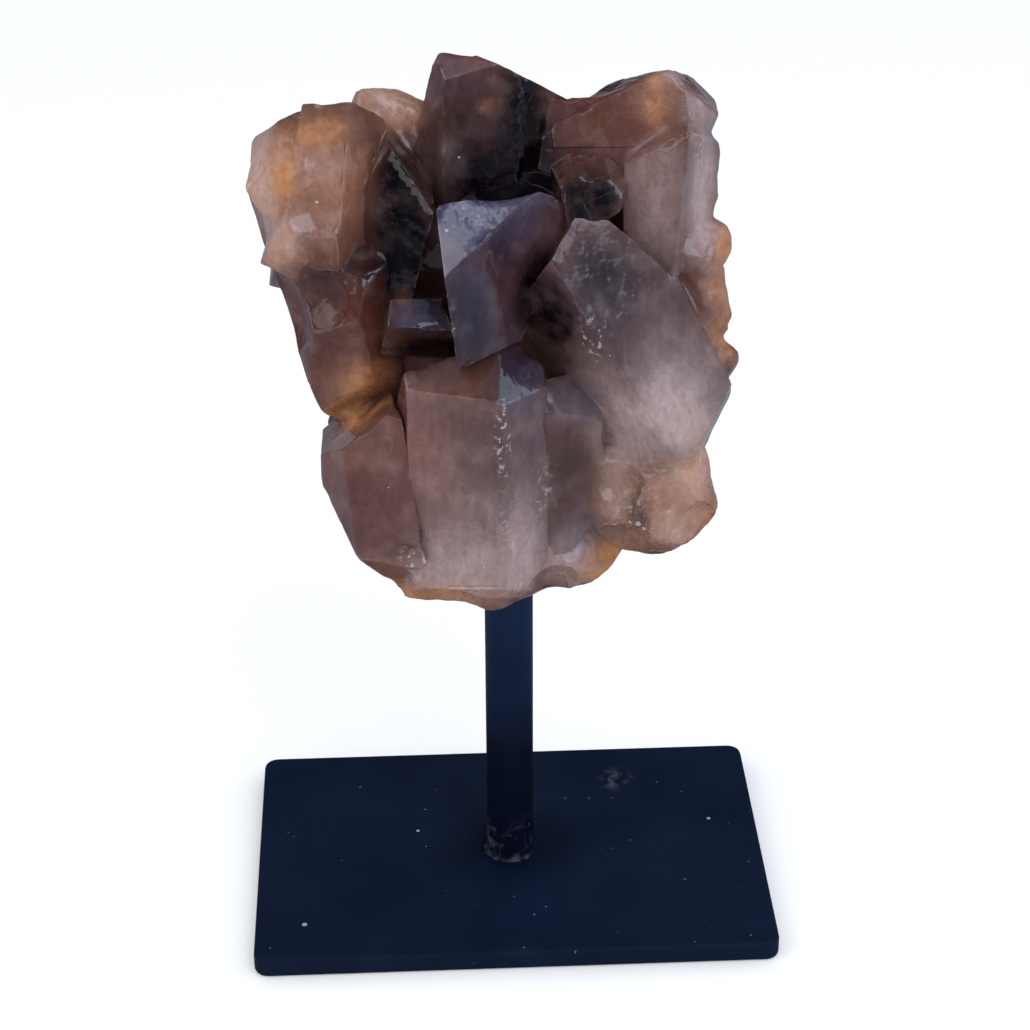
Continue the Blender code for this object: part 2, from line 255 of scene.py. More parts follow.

# Shell-shaped breaks: place, azimuth and elevation of the way out, radius of the sphere and depth.
# Those of the first table are fresh and have a pale rim, partly a painted highlight; the worn ones of
# the second have none.
RIMMED_SCOOPS = (
    ((-28.5, -4, 126.5), -92, 22, 10, 1.1),
    ((-30, -6.8, 119), -85, 25, 9, 1.0),
    ((-34.5, -5.3, 122), -116, 0, 8, 0.8),
)
WORN_SCOOPS = (
    ((-28.5, -7, 113), -110, 15, 8, 0.9),
    ((-25.5, -9.5, 105), -100, -6, 10, 1.0),
    ((-32, -3, 109), -155, 0, 9, 1.2),
    ((-17, -19, 74), -95, 0, 5, 0.7),
    ((23, -16.5, 82), -75, 5, 8, 1.2),
    ((28, -15, 77), -60, -5, 6, 1.0),
    ((17, -14, 75), -100, -30, 6, 1.0),
    ((17.5, -15, 85), -115, 10, 5, 0.7),
    ((-10, -15, 66), -95, -40, 6, 0.9),
    ((7, -15, 68), -90, -30, 5, 0.8),
    ((-2, -19, 67), -90, -45, 6, 0.7),
    ((20, 0, 139), -105, 20, 10, 0.8),
    ((30, 0, 137), -60, 10, 6, 0.7),
    ((-2, 2, 141), -80, 12, 14, 0.6),
)

# How deep the weld bites into the post and the plate, and how far the floor lies under the plate.
WELD_BITE = 0.05 * MM
FLOOR_DROP = 0.05

# Colours of the walls at the horizon and overhead.
WALL_LOW = (1.0, 1.0, 1.0)
WALL_HIGH = (0.9, 0.95, 1.0)

# Soft lights: way out from the stone, width, share of the key's power and colour.
SOFTBOXES = {
    "key": ((0.3, -0.62, 0.742), 0.3, 1.0, (0.9, 0.93, 1.0)),
    "side": ((0.86, -0.06, 0.50), 0.26, 0.6, (0.74, 0.82, 1.0)),
    "fill": ((-0.75, -0.35, 0.55), 0.35, 0.8, (1.0, 0.94, 0.88)),
}
LIT_PLACE = Vector((0, 0, 0.1))
LAMP_DISTANCE = 0.5

CAMERA_AIM = Vector((1.1, 0.0, 70.4)) * MM
SENSOR_WIDTH = 36.0


def lattice_value(cells, seed):
    """A number from 0 to 1 for each whole-number cell: the cell's three numbers mixed and wrapped."""
    x, y, z = cells[:, 0] * 73856093, cells[:, 1] * 19349663, cells[:, 2] * 83492791
    mixed = x ^ y ^ z ^ seed * 2654435761
    mixed = (mixed ^ (mixed >> 13)) * 1274126177 & 0x7FFFFFFF
    mixed = (mixed ^ (mixed >> 16)) & 0xFFFF
    return mixed / 65535.0


def smooth_noise(points, size, seed):
    """Noise from 0 to 1: values at the corners of cubes of that size, blended by a smooth step."""
    place = points / size
    cell = np.floor(place).astype(np.int64)
    part = place - cell
    part = part * part * (3 - 2 * part)
    total = np.zeros(len(points))
    for corner in range(8):
        step = np.array([corner & 1, corner >> 1 & 1, corner >> 2 & 1])
        weight = np.prod(np.where(step, part, 1 - part), axis=1)
        total += weight * lattice_value(cell + step, seed)
    return total


def layered_noise(points, size, seed, layers=3):
    """Noise from 0 to 1 made of layers, each half as large and half as strong as the one before."""
    total = np.zeros(len(points))
    weight = 1.0
    for layer in range(layers):
        total += weight * smooth_noise(points, size / 2**layer, seed + layer)
        weight /= 2
    return total / (2 - 2 ** (1 - layers))


def spots(points, table):
    """Strength from 0 to 1 at each point: the strongest of the spots, each an ellipsoid that is even
    inside and fades at its rim, as e to the minus third power of the share of its reach."""
    strength = np.zeros(len(points))
    for centre, reach, peak in table:
        away = np.linalg.norm((points - centre) / reach, axis=1)
        strength = np.maximum(strength, peak * np.exp(-(away**3)))
    return np.clip(strength, 0, 1)


def scallops(points, size, seed):
    """Hollows like broken glass, from 0 in their middles to 1 at the ridges between them: the squared
    distance to the nearest of a jittered lattice of points, over the square of its size, in a space
    that noise bends."""
    bend = np.column_stack([smooth_noise(points, size * 0.8, seed + 10 + k) for k in range(3)])
    place = points / size + 0.7 * bend
    cell = np.floor(place).astype(np.int64)
    nearest = np.full(len(points), 9.0)
    for corner in range(27):
        near = cell + [corner % 3 - 1, corner // 3 % 3 - 1, corner // 9 - 1]
        jitter = np.column_stack([lattice_value(near, seed + k) for k in range(3)])
        nearest = np.minimum(nearest, ((place - near - jitter) ** 2).sum(1))
    return np.minimum(nearest, 1)


def merged_arrays(node):
    """Points in millimetres and triangles of a CAD node, with shared corners joined."""
    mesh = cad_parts[node].data
    points = np.empty(len(mesh.vertices) * 3)
    mesh.vertices.foreach_get("co", points)
    points = np.round(points.reshape(-1, 3) / MM, 4)
    mesh.calc_loop_triangles()
    triangles = np.empty(len(mesh.loop_triangles) * 3, dtype=np.int32)
    mesh.loop_triangles.foreach_get("vertices", triangles)
    points, place = np.unique(points, axis=0, return_inverse=True)
    triangles = place.reshape(-1)[triangles].reshape(-1, 3)
    apart = triangles != np.roll(triangles, 1, axis=1)
    return points, triangles[apart.all(1)]


def edge_keys(pairs, count):
    """One whole number for each pair of points, the same for both orders of the pair."""
    pairs = np.sort(pairs, axis=1).astype(np.int64)
    return pairs[:, 0] * count + pairs[:, 1]


def sides_of(triangles):
    """The three sides of each triangle, one triangle after the other, as pairs of points."""
    return triangles[:, [[0, 1], [1, 2], [2, 0]]].reshape(-1, 2)


def shared_sides(triangles, count):
    """Both places in the list of sides, and the key, of each side that two triangles share."""
    keys = edge_keys(sides_of(triangles), count)
    order = np.argsort(keys, kind="stable")
    keys = keys[order]
    paired = np.flatnonzero(keys[1:] == keys[:-1])
    return order[paired], order[paired + 1], keys[paired]


def area_vectors(points, triangles):
    """Each triangle's normal times twice its area: the cross product of two of its sides."""
    a, b, c = (points[triangles[:, k]] for k in range(3))
    return np.cross(b - a, c - a)


def unit(vectors):
    """Each vector over its own length."""
    return vectors / np.maximum(np.linalg.norm(vectors, axis=1), 1e-12)[:, None]


def crisp_edges(points, triangles):
    """Edges between faces that turn by more than CRISP_ANGLE."""
    first, second, _ = shared_sides(triangles, len(points))
    normals = unit(area_vectors(points, triangles))
    alike = (normals[first // 3] * normals[second // 3]).sum(1)
    turned = np.degrees(np.arccos(np.clip(alike, -1, 1)))
    return sides_of(triangles)[first][turned > CRISP_ANGLE]


def facets_of(points, triangles, crisp):
    """A facet number for each triangle: the least triangle number that can be reached without
    crossing a crisp edge. Each plain edge passes the lesser number on, over and over."""
    first, second, keys = shared_sides(triangles, len(points))
    plain = ~np.isin(keys, edge_keys(crisp, len(points)))
    one, other = first[plain] // 3, second[plain] // 3
    facet = np.arange(len(triangles))
    while True:
        least = facet.copy()
        np.minimum.at(least, one, facet[other])
        np.minimum.at(least, other, facet[one])
        if (least == facet).all():
            return facet
        facet = least


def halved(points, triangles, facet, crisp, longest):
    """Halves every edge longer than longest, over and over, and splits the triangles to match.

    A triangle with one, two or three halved edges becomes two, three or four triangles.
    """
    while True:
        count = len(points)
        keys, place = np.unique(edge_keys(sides_of(triangles), count), return_inverse=True)
        ends = np.stack((keys // count, keys % count), axis=1)
        length = np.linalg.norm(points[ends[:, 0]] - points[ends[:, 1]], axis=1)
        long = length > longest
        if not long.any():
            return points, triangles, facet, crisp
        middle = np.full(len(keys), -1)
        middle[long] = count + np.arange(long.sum())
        points = np.vstack((points, points[ends[long]].mean(1)))
        crisp_middle = middle[np.searchsorted(keys, edge_keys(crisp, count))]
        cut = crisp_middle >= 0
        first, last = crisp[cut].T
        between = crisp_middle[cut]
        crisp = np.vstack(
            [crisp[~cut], np.column_stack((first, between)), np.column_stack((between, last))]
        )
        new = middle[place.reshape(-1)].reshape(-1, 3)
        halves = (new >= 0).sum(1)
        start = np.where(halves == 1, (new >= 0).argmax(1), (new < 0).argmax(1) + 1)
        turn = (start[:, None] + np.arange(3)) % 3
        a, b, c = np.take_along_axis(triangles, turn, 1).T
        ab, bc, ca = np.take_along_axis(new, turn, 1).T
        one, two, three = halves == 1, halves == 2, halves == 3
        parts = (
            ((a, ab, c), one),
            ((ab, b, c), one),
            ((ab, b, bc), two),
            ((a, ab, bc), two),
            ((a, bc, c), two),
            ((a, ab, ca), three),
            ((ab, b, bc), three),
            ((ca, bc, c), three),
            ((ab, bc, ca), three),
        )
        facet = np.concatenate([facet[halves == 0], *(facet[which] for _, which in parts)])
        pieces = (np.column_stack(corners)[which] for corners, which in parts)
        triangles = np.vstack([triangles[halves == 0], *pieces])


def point_normals(points, triangles):
    """Unit normals at points: the sum of the area vectors of the triangles there, over its length."""
    normal = area_vectors(points, triangles)
    total = np.zeros_like(points)
    for k in range(3):
        np.add.at(total, triangles[:, k], normal)
    return unit(total)


def spread(values, triangles, rounds):
    """Spreads a value over the surface: each round takes the mean over the edges at each point."""
    sides = sides_of(triangles)
    share = np.bincount(sides.reshape(-1), minlength=len(values))
    for _ in range(rounds):
        total = np.bincount(sides[:, 0], values[sides[:, 1]], len(values))
        total += np.bincount(sides[:, 1], values[sides[:, 0]], len(values))
        values = total / np.maximum(share, 1)
    return values


def neighbour_mean(points, triangles):
    """For each point, the mean of the points that it shares an edge with."""
    return np.column_stack([spread(points[:, k], triangles, 1) for k in range(3)])


def softened(points, triangles, softness, rounds):
    """Points moved towards the mean of their neighbours, by their softness: edges round off."""
    for _ in range(rounds):
        points = points + softness[:, None] * (neighbour_mean(points, triangles) - points)
    return points


def scoop_centre(place, azimuth, elevation, radius, depth):
    """Centre of a scoop's sphere: out of the stone from its place by its radius less its depth."""
    a, e = math.radians(azimuth), math.radians(elevation)
    outward = np.array([math.cos(a) * math.cos(e), math.sin(a) * math.cos(e), math.sin(e)])
    return np.array(place) + outward * (radius - depth)


def scooped(points, scoops):
    """Points moved out of spheres, straight away from each sphere's centre: a shell-shaped hollow.

    Each scoop is a point on the surface, the way the surface faces there as azimuth and elevation,
    the sphere's radius and the hollow's depth.
    """
    for scoop in scoops:
        from_centre = points - scoop_centre(*scoop)
        away = np.linalg.norm(from_centre, axis=1)[:, None]
        points = points + from_centre / away * np.maximum(scoop[3] - away, 0)
    return points


def scoop_rims(points, scoops):
    """From 1 on the rim of a scoop to 0 away from it: e to the minus square of the gap to the sphere
    over the rim's width, as far as the scoop's own hollow reaches."""
    strength = np.zeros(len(points))
    for scoop in scoops:
        place, radius, depth = scoop[0], scoop[3], scoop[4]
        gap = np.linalg.norm(points - scoop_centre(*scoop), axis=1) - radius
        own = np.linalg.norm(points - place, axis=1) < math.sqrt(2 * radius * depth) * 1.25 + 1
        strength = np.maximum(strength, own * np.exp(-((gap / SCOOP_RIM) ** 2)))
    return strength


def new_object(name, data):
    """An object in the scene that holds a mesh, a light or a camera."""
    obj = bpy.data.objects.new(name, data)
    bpy.context.scene.collection.objects.link(obj)
    return obj


def mesh_of(name, points, faces):
    """A mesh from points in millimetres and faces."""
    mesh = bpy.data.meshes.new(name)
    mesh.from_pydata(points * MM, [], faces)
    mesh.update()
    return mesh


def mark_crisp(mesh, crisp):
    """Smooth shading that breaks at the crisp edges."""
    pairs = np.empty(len(mesh.edges) * 2, dtype=np.int32)
    mesh.edges.foreach_get("vertices", pairs)
    count = len(mesh.vertices)
    sharp = np.isin(edge_keys(pairs.reshape(-1, 2), count), edge_keys(crisp, count))
    mesh.shade_smooth()
    stored = mesh.attributes
    attribute = stored.get("sharp_edge") or stored.new("sharp_edge", "BOOLEAN", "EDGE")
    attribute.data.foreach_set("value", sharp)


def write_attribute(mesh, name, values, domain="POINT"):
    """A number at each point or face of a mesh, for its material to read."""
    attribute = mesh.attributes.new(name, "FLOAT", domain)
    attribute.data.foreach_set("value", values.astype(np.float32))


class NodeBench:
    """Places and joins shader nodes in one node tree."""

    def __init__(self, tree):
        self.tree = tree

    def add(self, kind, **inputs):
        """A node with some of its inputs fed."""
        return self.feed_all(self.tree.nodes.new(kind), **inputs)

    def feed_all(self, node, **inputs):
        """Feeds a node's inputs with values or sockets; spaces in their names are written as _."""
        for name, value in inputs.items():
            self.feed(node, name.replace("_", " "), value)
        return node

    def feed(self, node, name, value):
        """Joins a socket to a node's input, or sets the input's own value."""
        target = node.inputs[name] if name in node.inputs else node.inputs[int(name)]
        if isinstance(value, bpy.types.NodeSocket):
            self.tree.links.new(value, target)
        else:
            target.default_value = value

    def math(self, operation, a, b=0.0, clamp=False):
        """The result of a Math node."""
        node = self.add("ShaderNodeMath", **{"0": a, "1": b})
        node.operation = operation
        node.use_clamp = clamp
        return node.outputs[0]

    def product(self, a, b, clamp=False):
        """One value times another."""
        return self.math("MULTIPLY", a, b, clamp)

    def mix(self, share, a, b):
        """A blend of two colours, each one a socket or three numbers."""
        node = self.tree.nodes.new("ShaderNodeMix")
        node.data_type = "RGBA"
        self.feed(node, "0", share)
        for name, colour in (("6", a), ("7", b)):
            is_socket = isinstance(colour, bpy.types.NodeSocket)
            self.feed(node, name, colour if is_socket else (*colour, 1))
        return node.outputs[2]

    def vector_math(self, operation, a, b):
        """The outputs of a Vector Math node."""
        node = self.add("ShaderNodeVectorMath", **{"0": a, "1": b})
        node.operation = operation
        return node.outputs

    def distance(self, a, b=(0, 0, 0)):
        """How far two places are apart."""
        return self.vector_math("DISTANCE", a, b)["Value"]

    def scaled(self, colour, factor):
        """A colour made brighter or darker by a factor."""
        node = self.add("ShaderNodeVectorMath", **{"0": colour})
        node.operation = "SCALE"
        self.feed(node, "Scale", factor)
        return node.outputs[0]

    def ramp(self, value, low, high, out_low=0.0, out_high=1.0):
        """A value moved from one range to another and kept inside it."""
        limits = {"From_Min": low, "From_Max": high, "To_Min": out_low, "To_Max": out_high}
        return self.add("ShaderNodeMapRange", Value=value, **limits).outputs[0]

    def noise(self, vector, scale, detail=3.0, distortion=0.0):
        """Noise from 0 to 1 at so many waves to the metre."""
        wave = {"Scale": scale, "Detail": detail, "Distortion": distortion}
        return self.add("ShaderNodeTexNoise", Vector=vector, **wave).outputs["Fac"]

    def attribute(self, name):
        """A number that the mesh carries."""
        node = self.tree.nodes.new("ShaderNodeAttribute")
        node.attribute_name = name
        return node.outputs["Fac"]

    def object_place(self):
        """Object coordinates."""
        return self.tree.nodes.new("ShaderNodeTexCoord").outputs["Object"]


def new_material(name):
    """A material with its node bench, Principled shader and output."""
    material = bpy.data.materials.new(name)
    material.use_nodes = True
    tree = material.node_tree
    return material, NodeBench(tree), tree.nodes["Principled BSDF"], tree.nodes["Material Output"]


def new_group(name, inputs, outputs):
    """A node group with its bench, its inputs' sockets by name and its output node."""
    group = bpy.data.node_groups.new(name, "ShaderNodeTree")
    for way, sockets in (("INPUT", inputs), ("OUTPUT", outputs)):
        for socket, kind in sockets:
            group.interface.new_socket(socket, in_out=way, socket_type="NodeSocket" + kind)
    source = group.nodes.new("NodeGroupInput").outputs
    return group, NodeBench(group), source, group.nodes.new("NodeGroupOutput")


def placed_group(bench, group, **inputs):
    """A node group placed in a material with its own values; returns its outputs."""
    node = bench.tree.nodes.new("ShaderNodeGroup")
    node.node_tree = group
    return bench.feed_all(node, **inputs).outputs


def speck_group():
    """Node group: specks of dust or grit, thrown over a surface at one size and density."""
    inputs = (("Vector", "Vector"), ("Per Metre", "Float"), ("Share", "Float"), ("Size", "Float"))
    group, bench, source, sink = new_group("specks", inputs, (("Mask", "Float"),))
    cells = bench.add("ShaderNodeTexVoronoi", Vector=source["Vector"], Scale=source["Per Metre"])
    luck = bench.add("ShaderNodeSeparateColor", Color=cells.outputs["Color"])
    chosen = bench.math("LESS_THAN", luck.outputs["Red"], source["Share"])
    size = bench.product(luck.outputs["Green"], source["Size"])
    near = bench.math("LESS_THAN", cells.outputs["Distance"], size)
    bench.feed(sink, "Mask", bench.product(chosen, near))
    return group


def specks(bench, vector, per_metre, share, size):
    """The mask of the specks group with its own values."""
    group = bpy.data.node_groups.get("specks") or speck_group()
    values = {"Per_Metre": per_metre, "Share": share, "Size": size}
    return placed_group(bench, group, Vector=vector, **values)["Mask"]


def smoky_colour(bench, settings, place, zone, patchy, grain):
    """Smoky brown in clouds, with the zones' tints, each facet's own tone, grain and streaks."""
    mottled = bench.ramp(bench.noise(place, 480, 5, 0.6), 0.4, 0.6, 0.86, 1.06)
    clouds = bench.ramp(bench.attribute("clouds"), 0.3, 0.7)
    colour = bench.mix(clouds, settings.smoke_deep, settings.smoke_pale)
    for name, tint, strength in (
        ("warm", settings.warm, 1.1),
        ("peachy", settings.peach, 1.2),
        ("milky", settings.milk, 1.25),
        ("rosy", settings.rose, 1.2),
        # The blue tint is a painted reflection of the open sky.
        ("blue", settings.blue, 1.0),
        # The darkest tint is partly smoky quartz and partly painted shade in gaps and hollows.
        ("dark_smoke_and_shade", settings.smoke_dark_and_shade, 1.35),
    ):
        share = bench.product(zone[name], strength)
        share = bench.product(share, mottled if name == "dark_smoke_and_shade" else patchy, clamp=True)
        colour = bench.mix(share, colour, tint)
    colour = bench.scaled(colour, bench.ramp(bench.attribute("facet_tone"), -1, 1, 0.65, 1.35))
    upright = bench.vector_math("MULTIPLY", place, (1.0, 1.0, 0.18))["Vector"]
    for pattern in (grain, bench.noise(upright, 900, 4, 0.3)):
        colour = bench.scaled(colour, bench.ramp(pattern, 0.3, 0.7, 0.88, 1.12))
    return colour


def milky_marks(bench, place, zone, wisps):
    """Masks of the veils, healed cracks and pale rims that lie milky over the colour; the rims are
    partly painted highlight.
    """
    veil = bench.ramp(wisps, 0.5, 0.78, 0.0, 0.22)
    veil = bench.product(veil, bench.math("SUBTRACT", 1.0, zone["dark_smoke_and_shade"]), clamp=True)
    lines = bench.math("ABSOLUTE", bench.math("SUBTRACT", bench.noise(place, 60, 2, 1.2), 0.5))
    crack = bench.ramp(lines, 0.0, 0.005, 1.0, 0.0)
    cracked = bench.ramp(bench.attribute("clouds"), 0.45, 0.62, 0.0, 0.16)
    # Pale rims along crisp convex edges and fresh breaks: milky bruising and partly a painted
    # highlight.
    rim = bench.ramp(bench.attribute("rim"), 0.6, 1.0, 0.0, 0.45)
    worn = bench.ramp(wisps, 0.4, 0.6, 0.15, 1.0)
    return veil, bench.product(crack, cracked), bench.product(rim, worn)


def quartz_material(settings):
    """Smoky quartz: clear brown crystal with milky, rusty, darkest and chipped places, painted shade
    and a painted sky reflection.
    """
    material, bench, shader, output = new_material("smoky_quartz")
    place = bench.object_place()
    wisps = bench.noise(place, 230, 6, 0.15)
    grain = bench.noise(place, 1100, 3)
    patchy = bench.ramp(wisps, 0.34, 0.62, 0.78, 1.0)
    zone = {name: bench.attribute(name) for name in SPOTS}
    colour = smoky_colour(bench, settings, place, zone, patchy, grain)
    for mask in milky_marks(bench, place, zone, wisps):
        colour = bench.mix(mask, colour, settings.milk)
    milk = bench.product(zone["milky"], patchy, clamp=True)
    blotched = bench.ramp(wisps, 0.42, 0.56, 0.35, 1.1)
    stain = bench.product(zone["rusty"], blotched, clamp=True)
    rust = bench.mix(bench.ramp(grain, 0.35, 0.65), settings.rust_deep, settings.rust_pale)
    colour = bench.mix(stain, colour, rust)
    chips = bench.product(zone["chipped"], bench.ramp(grain, 0.56, 0.64), clamp=True)
    dust = bench.math("ADD", chips, specks(bench, place, 420, 0.05, 0.1), clamp=True)
    colour = bench.mix(dust, colour, settings.chip)
    rough = bench.ramp(wisps, 0.3, 0.7, 0.03, 0.12)
    for mask, added in ((milk, 0.2), (zone["broken"], 0.12), (stain, 0.45), (dust, 0.4)):
        rough = bench.math("ADD", rough, bench.product(mask, added), clamp=True)
    unevenness = bench.math("ADD", 0.25, zone["broken"])
    relief = bench.product(bench.noise(place, 420, 2), unevenness)
    bump = bench.add("ShaderNodeBump", Height=relief, Strength=0.5, Distance=0.0008)
    bench.feed_all(shader, Base_Color=colour, Roughness=rough, Normal=bump.outputs["Normal"])
    bench.feed_all(shader, IOR=settings.ior, Transmission_Weight=settings.clearness)
    smoke = bench.add("ShaderNodeVolumeAbsorption", Density=settings.absorption_density)
    bench.feed(smoke, "Color", (*settings.absorption_colour, 1))
    bench.feed(output, "Volume", smoke.outputs["Volume"])
    return material


def coat_group():
    """Node group: satin powder coat with an orange-peel skin, uneven blue-black, painted shade,
    scuffs and dust.
    """
    inputs = (
        ("Vector", "Vector"),
        ("Deep Colour", "Color"),
        ("Pale Colour", "Color"),
        ("Dust Colour", "Color"),
        ("Depth", "Float"),
        ("Scuffed", "Float"),
        ("Dust Share", "Float"),
    )
    outputs = (("Color", "Color"), ("Roughness", "Float"), ("Normal", "Vector"))
    group, bench, source, sink = new_group("powder_coat", inputs, outputs)
    place = source["Vector"]
    patches = bench.noise(place, 60, 4, 0.5)
    tone = bench.ramp(patches, 0.3, 0.7, 0.55, 1.0)
    # Painted shade: the coat turns to its deepest colour where the Shade input is high.
    tone = bench.math("SUBTRACT", tone, source["Depth"], clamp=True)
    colour = bench.mix(tone, source["Deep Colour"], source["Pale Colour"])
    dust = specks(bench, place, 310, source["Dust Share"], 0.15)
    fluff = specks(bench, place, 950, bench.product(source["Dust Share"], 1.5), 0.22)
    dust = bench.math("MAXIMUM", dust, bench.product(fluff, 0.35))
    streaky = bench.ramp(bench.noise(place, 420, 4, 1.0), 0.48, 0.7)
    smear = bench.product(source["Scuffed"], streaky)
    grime = bench.product(dust, 0.7)
    grime = bench.math("MAXIMUM", grime, bench.product(smear, 0.16))
    rough = bench.ramp(patches, 0.3, 0.7, 0.42, 0.56)
    rough = bench.math("ADD", rough, bench.product(grime, 0.3))
    peel = bench.noise(place, 1400, 2)
    bump = bench.add("ShaderNodeBump", Height=peel, Strength=0.25, Distance=0.00008)
    colour = bench.mix(grime, colour, source["Dust Colour"])
    bench.feed_all(sink, Color=colour, Roughness=rough, Normal=bump.outputs["Normal"])
    return group


def coat_material(name, settings, pale, marks, dust_share):
    """Powder-coated steel; marks(bench, place) gives the masks of its painted shade and its scuffed
    places.
    """
    material, bench, shader, _ = new_material(name)
    place = bench.object_place()
    shade_mask, scuffed = marks(bench, place)
    coat = placed_group(
        bench,
        bpy.data.node_groups.get("powder_coat") or coat_group(),
        Vector=place,
        Deep_Colour=(*settings.coat_deep, 1),
        Pale_Colour=(*pale, 1),
        Dust_Colour=(*settings.dust, 1),
        Depth=shade_mask,
        Scuffed=scuffed,
        Dust_Share=dust_share,
    )
    bench.feed_all(shader, Base_Color=coat["Color"], Roughness=coat["Roughness"])
    bench.feed_all(shader, Normal=coat["Normal"], Specular_IOR_Level=settings.coat_gloss)
    return material


def post_marks(bench, place):
    """Painted shade that deepens towards the post's foot, and scuffed just above the weld."""
    height = bench.add("ShaderNodeSeparateXYZ", Vector=place).outputs["Z"]
    return bench.ramp(height, 0.062, 0.012), bench.ramp(height, 0.013, 0.007, 0.0, 0.7)


def plate_marks(bench, place):
    """Painted shade round the post, with one smudge near the back."""
    around = bench.ramp(bench.distance(place), 0.014, 0.004, 0.0, 0.6)
    smudge = bench.distance(place, (0.020, 0.019, 0.0035))
    return around, bench.ramp(smudge, 0.004, 0.001, 0.0, 0.8)


def colour_property(name, description, default):
    """A colour setting."""
    return bpy.props.FloatVectorProperty(
        name=name, description=description, subtype="COLOR", min=0, max=1, default=default
    )


def number_property(name, description, default, **limits):
    """A number setting."""
    return bpy.props.FloatProperty(name=name, description=description, default=default, **limits)


def length_property(name, description, default, least=0.0):
    """A length setting, its default and least value given in millimetres."""
    return number_property(name, description, default * MM, min=least * MM, unit="LENGTH")


def angle_property(name, description, degrees):
    """An angle setting."""
    return number_property(name, description, math.radians(degrees), unit="ROTATION")


def share_property(name, description, default):
    """A setting from 0 to 1."""
    return number_property(name, description, default, min=0, max=1, subtype="FACTOR")


class StoneSettings(bpy.types.PropertyGroup):
    """Sizes and colours of the quartz."""

    detail: length_property("Detail", "Longest edge of the stone's triangles", 1.15, least=0.8)
    chip_depth: length_property("Chip depth", "How far crystal edges are nicked at the most", 0.45)
    broken_depth: length_property("Broken relief", "How uneven broken surfaces are", 1.6)
    swell_height: length_property("Swell", "How far glassy surfaces wave in and out", 0.9)
    soft_rounds: bpy.props.IntProperty(
        name="Rounds of softening", description="How far worn edges are rounded", default=6, min=0
    )
    least_softness: share_property("Least softness", "Rounding of the crispest crystals", 0.04)
    rim_bulge: length_property("Rim bulge", "How far the palest edges stand out", 0.12, least=0.01)
    facet_evenness: share_property("Facet evenness", "How far a face takes one tint all over", 0.5)
    ior: number_property("IOR", "Index of refraction of quartz", 1.544)
    clearness: share_property("Clearness", "Share of the light that veils don't scatter", 0.6)
    absorption_density: number_property("Absorption", "Absorption to the metre", 110.0, min=0)
    absorption_colour: colour_property("Absorption colour", "Light that is left", (0.62, 0.42, 0.36))
    smoke_pale: colour_property("Pale smoke", "Mauve brown of thin quartz", (0.262, 0.108, 0.09))
    smoke_deep: colour_property("Deep smoke", "Mauve brown of thick quartz", (0.092, 0.037, 0.034))
    # Also the colour of the painted shade in gaps and hollows.
    smoke_dark_and_shade: colour_property("Dark smoke", "Darkest quartz", (0.0025, 0.0011, 0.003))
    warm: colour_property("Warm smoke", "Red brown quartz", (0.165, 0.046, 0.027))
    peach: colour_property("Peach quartz", "Pale pinkish brown quartz", (0.64, 0.305, 0.195))
    milk: colour_property("Milky quartz", "Cloudy, pale violet quartz", (0.80, 0.59, 0.585))
    rose: colour_property("Rosy quartz", "Palest pinkish crust", (0.95, 0.60, 0.48))
    # Colour of the painted reflection of the open sky, not of the quartz.
    blue: colour_property("Blue smoke", "Smoke that the open sky lights", (0.07, 0.085, 0.2))
    rust_pale: colour_property("Pale rust", "Ochre iron stain", (1.0, 0.47, 0.17))
    rust_deep: colour_property("Deep rust", "Brown iron stain", (0.85, 0.3, 0.08))
    chip: colour_property("Chips", "White of bruised edges and grit", (0.85, 0.83, 0.86))


class StandSettings(bpy.types.PropertyGroup):
    """Sizes and colours of the stand."""

    weld_width: length_property("Weld width", "How far the weld reaches out from the post", 0.9)
    weld_height: length_property("Weld height", "How far the weld reaches up the post", 0.9)
    coat_gloss: share_property("Gloss", "Strength of the coat's reflections", 0.12)
    coat_deep: colour_property("Deep coat", "Darkest blue-black of the coat", (0.001, 0.0028, 0.0125))
    coat_pale: colour_property("Pale coat", "Palest blue-black of the plate", (0.0024, 0.0085, 0.029))
    # Same coat as the plate, made brighter: painted light on the upright post.
    post_lit_pale: colour_property("Pale post", "Palest blue of the post", (0.006, 0.019, 0.068))
    dust: colour_property("Dust", "Dust on the coat", (0.35, 0.38, 0.42))


class StageSettings(bpy.types.PropertyGroup):
    """Floor, lights and camera."""

    floor_size: length_property("Floor", "Width of the floor", 8000)
    floor_colour: colour_property("Floor colour", "Pale floor", (0.9, 0.9, 0.9))
    floor_shade: colour_property("Floor in reflections", "Floor as gloss shows it", (0.2, 0.24, 0.3))
    sky_strength: number_property("Sky", "Strength of the studio's walls", 1.1)
    sky_gloss: number_property("Sky in reflections", "Strength of the walls as gloss shows them", 0.3)
    window_strength: number_property("Window", "Strength of the open sky as gloss shows it", 1.1)
    window_direction: bpy.props.FloatVectorProperty(
        name="Window direction", description="Where the sky is", default=(0.511, -0.431, 0.742)
    )
    window_colour: colour_property("Window colour", "Blue of the open sky", (0.5, 0.66, 1.0))
    key_power: number_property("Key", "Power of the main soft light", 0.55)
    camera_distance: length_property("Camera distance", "From the camera to what it looks at", 419)
    camera_height: angle_property("Camera height", "Angle of the camera above the horizon", 30.0)
    camera_side: angle_property("Camera side", "Angle of the camera round the stone", -2.6)
    camera_roll: angle_property("Camera roll", "Tilt of the picture", -0.26)
    lens: number_property("Lens", "Focal length on the sensor, in millimetres", 90.35)


